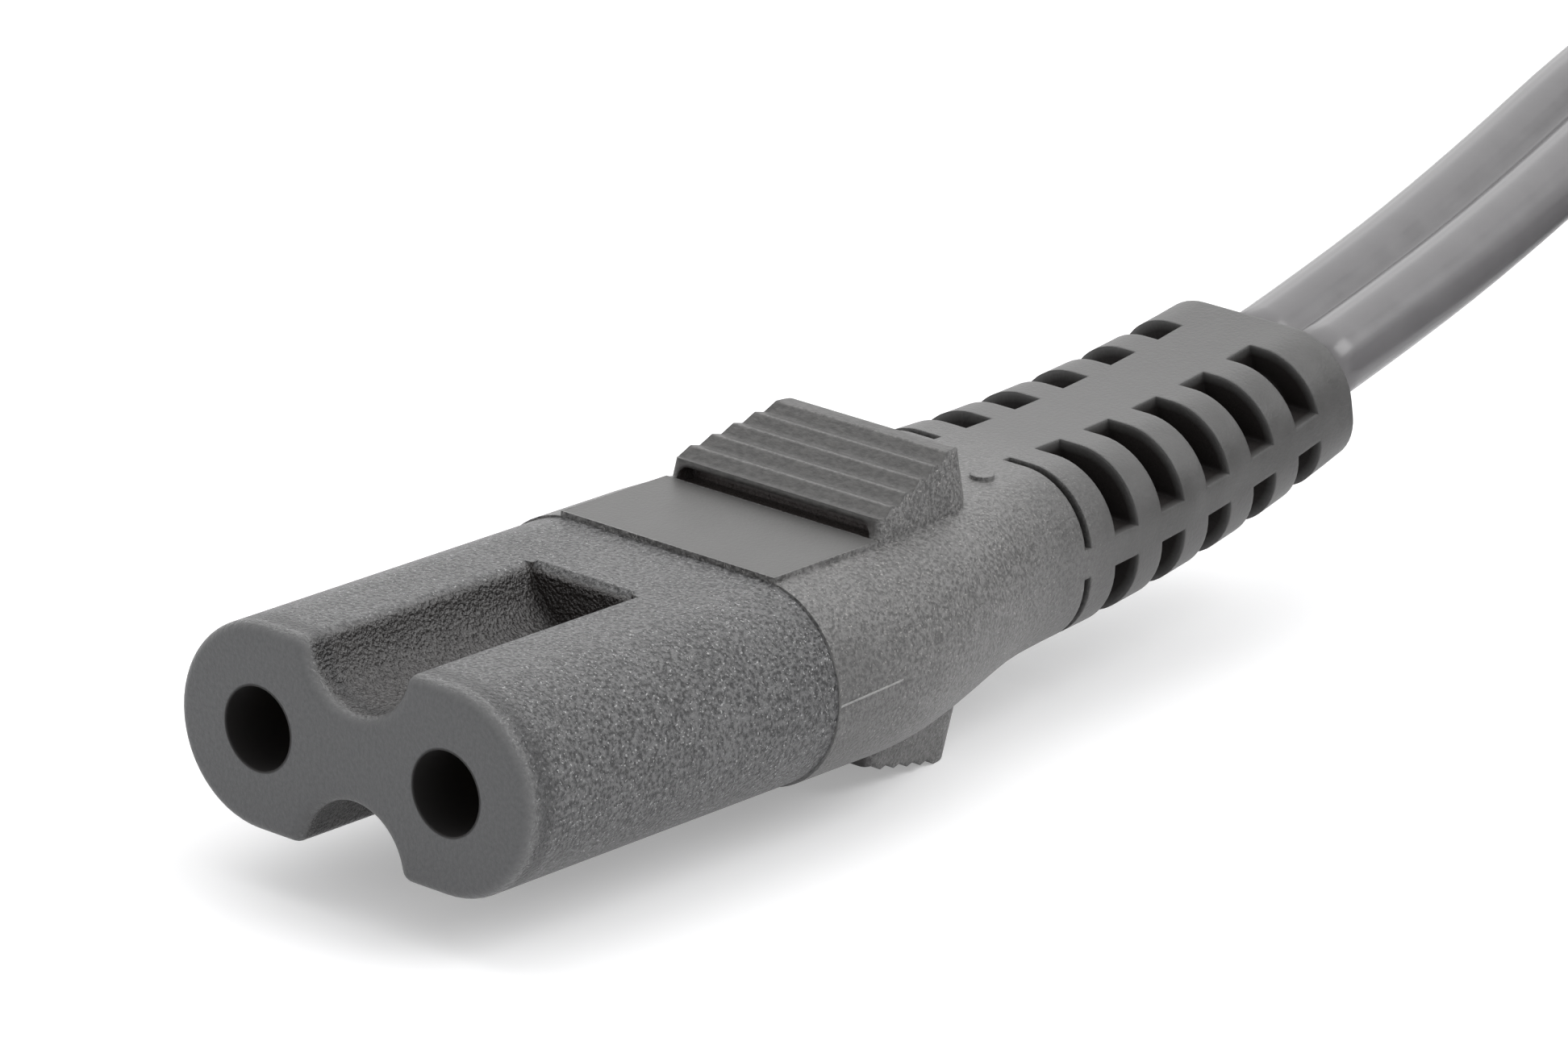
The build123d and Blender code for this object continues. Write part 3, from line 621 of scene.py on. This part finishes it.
# A round solid about the pin's leaning axis: each ring is a circle at one distance along it
def turnedRings(profile, t, side):
    lean = math.atan((t["pitch"] - t["tipPitch"]) / 2 / t["length"])
    ahead = np.array([math.cos(lean), -side * math.sin(lean), 0.0])
    level = np.array([math.sin(lean), side * math.cos(lean), 0.0])
    foot = np.array(t["foot"]) + (0, side * t["pitch"] / 2, 0)
    turn = np.linspace(0, 2 * math.pi, t["around"], endpoint=False)
    circle = np.cos(turn)[:, None] * level + np.sin(turn)[:, None] * (0, 0, 1)
    along, radius = np.array(profile).T
    return (foot + along[:, None, None] * ahead + radius[:, None, None] * circle) * millimetre


# The pin's tip: a quarter round of this radius between its side and its flat end
def pinProfile(t):
    turn = np.linspace(0, math.pi / 2, t["tipSteps"])
    flat, start = t["pinRadius"] - t["tipRadius"], t["length"] - t["tipRadius"]
    tip = np.stack([start + t["tipRadius"] * np.sin(turn), flat + t["tipRadius"] * np.cos(turn)], axis=1)
    return np.concatenate([t["pin"], tip])


for word, side in (("Left", -1), ("Right", 1)):
    pin = skinRings("pin" + word, turnedRings(pinProfile(turnedPins), turnedPins, side),
                    materials["pinNickel"], sharpAngle)
    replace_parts(pin, "plug_pin_" + word.lower())
    sleeve = skinRings("sleeve" + word, turnedRings(turnedPins["sleeve"], turnedPins, side),
                       materials["sleevePlastic"], sharpAngle, closed=True)
    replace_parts(sleeve, "plug_sleeve_" + word.lower())
print("pins turned")


cord = {
    "lobe": 0.00295, "web": 0.0013,  # how thick each is, in metres; what follows is in mm
    "lobePoints": 14,
    "lead": [(-50.131, 0.0, 2.507), (-56.947, 0.0, 4.101), (-65.5, -0.3, 6.5), (-75.0, -1.0, 9.5),
             (-84.0, -1.6, 11.0), (-93.0, -2.0, 10.2), (-103.0, -1.95, 6.865)],
    "tail": [(-116.5, 3.7, 7.9), (-129.9, 4.2, 8.3), (-142.0, 11.0, 8.7), (-149.0, 23.0, 9.6),
             (-149.0, 37.0, 11.4), (-142.0, 49.0, 13.8), (-129.9, 56.0, 15.74), (-116.5, 56.0, 15.74),
             (-104.5, 56.0, 15.74)],
    "coilCentre": (-103.0, 32.0), "coilFloor": -5.86, "meanRadius": 31.0,
    "outerTurns": 4, "innerTurns": 5, "pointsPerTurn": 18, "stepsInTurn": 6,
    "order": 3, "piecesPerPoint": 6,
}


# Circles in two columns, from the -Y side by -X. The outer ones come first, and over the last sixth of a
# turn step down a level, or to the inner column, whose turns climb over the sixth before the last
def coilPoints(c):
    lobe = c["lobe"] / millimetre
    turns = c["outerTurns"] + c["innerTurns"]
    angle = np.arange(c["pointsPerTurn"] * turns + 1) / c["pointsPerTurn"]
    turn = np.floor(angle + 1e-9)  # the small number keeps a whole turn whole
    toEnd = (angle - turn - 1) * c["stepsInTurn"]
    lateStep, earlyStep = np.clip(toEnd + 1, 0, 1), np.clip(toEnd + 2, 0, 1)
    outer = turn < c["outerTurns"]
    last = turn == c["outerTurns"] - 1
    low = c["coilFloor"] + lobe / 2
    descend = c["outerTurns"] - 1 - turn - np.where(last, 0, lateStep)
    climb = turn - c["outerTurns"] + earlyStep
    height = low + lobe * np.where(outer, descend, np.minimum(climb, c["innerTurns"] - 1))
    column = np.where(outer, np.where(last, 1 - 2 * lateStep, 1), -1)
    # a spline of order 3 runs inside its control points by this share
    pulledIn = 0.75 + 0.25 * math.cos(2 * math.pi / c["pointsPerTurn"])
    radius = (c["meanRadius"] + lobe * column) / pulledIn
    x = c["coilCentre"][0] - radius * np.sin(angle * 2 * math.pi)
    y = c["coilCentre"][1] - radius * np.cos(angle * 2 * math.pi)
    return np.stack([x, y, height], axis=1)


# Points read from one smooth spline that has these control points
def smoothLine(name, controls, order, piecesPerPoint):
    curve = bpy.data.curves.new(name, "CURVE")
    curve.dimensions = "3D"
    curve.resolution_u = piecesPerPoint
    spline = curve.splines.new("NURBS")
    spline.points.add(len(controls) - 1)
    flat = np.column_stack([controls, np.ones(len(controls))]).ravel()
    spline.points.foreach_set("co", flat)
    spline.order_u = order
    spline.use_endpoint_u = True
    guide = bpy.data.objects.new(name, curve)
    mesh = bpy.data.meshes.new_from_object(guide)
    points = np.empty(len(mesh.vertices) * 3)
    mesh.vertices.foreach_get("co", points)
    bpy.data.meshes.remove(mesh)
    bpy.data.objects.remove(guide)
    bpy.data.curves.remove(curve)
    return points.reshape(-1, 3)


# Two round lobes side by side: each is a circle about a point one radius from the middle, left open
# where the web joins it
def cordProfile(c):
    r = c["lobe"] / 2
    join = math.asin(c["web"] / 2 / r)
    turn = np.linspace(-math.pi + join, math.pi - join, c["lobePoints"] * 2)
    right = np.stack([r + r * np.cos(turn), r * np.sin(turn)], axis=1)
    return np.concatenate([right, -right])


# Each ring is the profile set across the line, its first direction level and its second upwards. A UV
# map along and round the cord goes with it, for a pattern on the jacket
def sweepProfile(name, line, profile, material):
    ahead = np.gradient(line, axis=0)
    ahead /= np.linalg.norm(ahead, axis=1)[:, None]
    side = np.cross(ahead, (0, 0, 1))
    side /= np.linalg.norm(side, axis=1)[:, None]
    rise = np.cross(side, ahead)
    rings = line[:, None] + side[:, None] * profile[None, :, :1] + rise[:, None] * profile[None, :, 1:]
    piece = skinRings(name, rings, material)
    mesh, size = piece.data, len(profile)
    run = np.concatenate([[0], np.cumsum(np.linalg.norm(np.diff(line, axis=0), axis=1))])
    around = np.concatenate([[0], np.cumsum(np.linalg.norm(np.diff(profile, axis=0), axis=1))])
    loops = np.empty(len(mesh.loops), dtype=int)
    mesh.loops.foreach_get("vertex_index", loops)
    uv = np.stack([run[loops // size], around[loops % size]], axis=1)
    mesh.uv_layers.new(name="alongCord").data.foreach_set("uv", uv.ravel())
    return piece


controls = np.concatenate([cord["lead"], coilPoints(cord)[1:], cord["tail"]]) * millimetre
cordLine = smoothLine("cordGuide", controls, cord["order"], cord["piecesPerPoint"])
flatCord = sweepProfile("flatCord", cordLine, cordProfile(cord), materials["cordJacket"])
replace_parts(flatCord, "cord_lead", "cord_coil", "cord_tail", "cord_in_plug")
onPlug = ["plugMoulding", "pinCarrier", "pinLeft", "pinRight", "sleeveLeft", "sleeveRight"]
onPlug += [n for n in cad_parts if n.startswith(("plug_core", "plug_conductor"))]


# 1 for the rays that show the background as such: the camera's, a reflection's and those through glass
def backgroundRays(tree):
    rays = tree.nodes.new("ShaderNodeLightPath").outputs
    seenOrReflected = addMath(tree, "MAXIMUM", rays["Is Camera Ray"], rays["Is Glossy Ray"])
    return addMath(tree, "MAXIMUM", seenOrReflected, rays["Is Transmission Ray"])


stage = {
    "floorColor": (0.80, 0.80, 0.81), "seenColor": (1.12, 1.12, 1.13), "whiteShare": 0.31,
    "halfSize": 3.0, "below": 0.00002,
}


# A pale floor. Those rays find brighter paper with a share of plain white, so that its shadows are light
def makeFloor(s):
    h = s["halfSize"]
    z = cadLow.z - s["below"]
    mesh = bpy.data.meshes.new("floor")
    mesh.from_pydata([(-h, -h, z), (h, -h, z), (h, h, z), (-h, h, z)], [], [(0, 1, 2, 3)])
    floor = bpy.data.objects.new("floor", mesh)
    scene.collection.objects.link(floor)
    material, tree, shader = newMaterial("floorPaper")
    tree.nodes.remove(shader)
    paper = tree.nodes.new("ShaderNodeBsdfDiffuse")
    white = tree.nodes.new("ShaderNodeEmission")
    blend = tree.nodes.new("ShaderNodeMixShader")
    seen = backgroundRays(tree)
    tree.links.new(mixColors(tree, seen, s["floorColor"], s["seenColor"]), paper.inputs["Color"])
    tree.links.new(addMath(tree, "MULTIPLY", seen, s["whiteShare"]), blend.inputs[0])
    tree.links.new(paper.outputs[0], blend.inputs[1])
    tree.links.new(white.outputs[0], blend.inputs[2])
    tree.links.new(blend.outputs[0], tree.nodes["Material Output"].inputs["Surface"])
    mesh.materials.append(material)


lampAim = (-0.03, 0.0, 0.0)
lamps = {
    "topSoftbox": {"place": (-0.25, -0.20, 0.75), "size": (1.2, 1.2), "watts": 4.4},
    "backSoftbox": {"place": (-0.62, -0.48, 0.36), "size": (0.6, 0.5), "watts": 0.8},
    "rightSoftbox": {"place": (-0.30, 0.60, 0.66), "size": (0.5, 0.5), "watts": 3.9},
    "frontSoftbox": {"place": (0.80, -0.10, 0.40), "size": (0.5, 0.5), "watts": 0.9},
}


def makeLamp(name, lamp):
    data = bpy.data.lights.new(name, "AREA")
    data.shape = "RECTANGLE"
    data.size, data.size_y = lamp["size"]
    data.energy = lamp["watts"]
    light = bpy.data.objects.new(name, data)
    scene.collection.objects.link(light)
    light.location = lamp["place"]
    aim = Vector(lampAim) - Vector(lamp["place"])
    light.rotation_euler = aim.to_track_quat("-Z", "Y").to_euler()


roomLight = {"level": 0.34, "overhead": 0.85}


# A pale room, brighter overhead than at the level of the eye, and plain white where it is background
def makeWorld(w):
    world = bpy.data.worlds.new("studio")
    world.use_nodes = True
    tree = world.node_tree
    tree.nodes.clear()
    output = tree.nodes.new("ShaderNodeOutputWorld")
    room = tree.nodes.new("ShaderNodeBackground")
    white = tree.nodes.new("ShaderNodeBackground")
    blend = tree.nodes.new("ShaderNodeMixShader")
    upwards = splitAxes(tree, tree.nodes.new("ShaderNodeTexCoord").outputs["Generated"])[2]
    strength = addRange(tree, upwards, 0.0, 1.0, w["level"], w["overhead"])
    tree.links.new(strength, room.inputs["Strength"])
    tree.links.new(backgroundRays(tree), blend.inputs[0])
    tree.links.new(room.outputs[0], blend.inputs[1])
    tree.links.new(white.outputs[0], blend.inputs[2])
    tree.links.new(blend.outputs[0], output.inputs["Surface"])
    for shader in (room, white):
        shader.inputs["Color"].default_value = (1, 1, 1, 1)
    scene.world = world


makeFloor(stage)
for name, lamp in lamps.items():
    makeLamp(name, lamp)
makeWorld(roomLight)
scene.view_settings.view_transform = "Standard"
print("stage and light set")
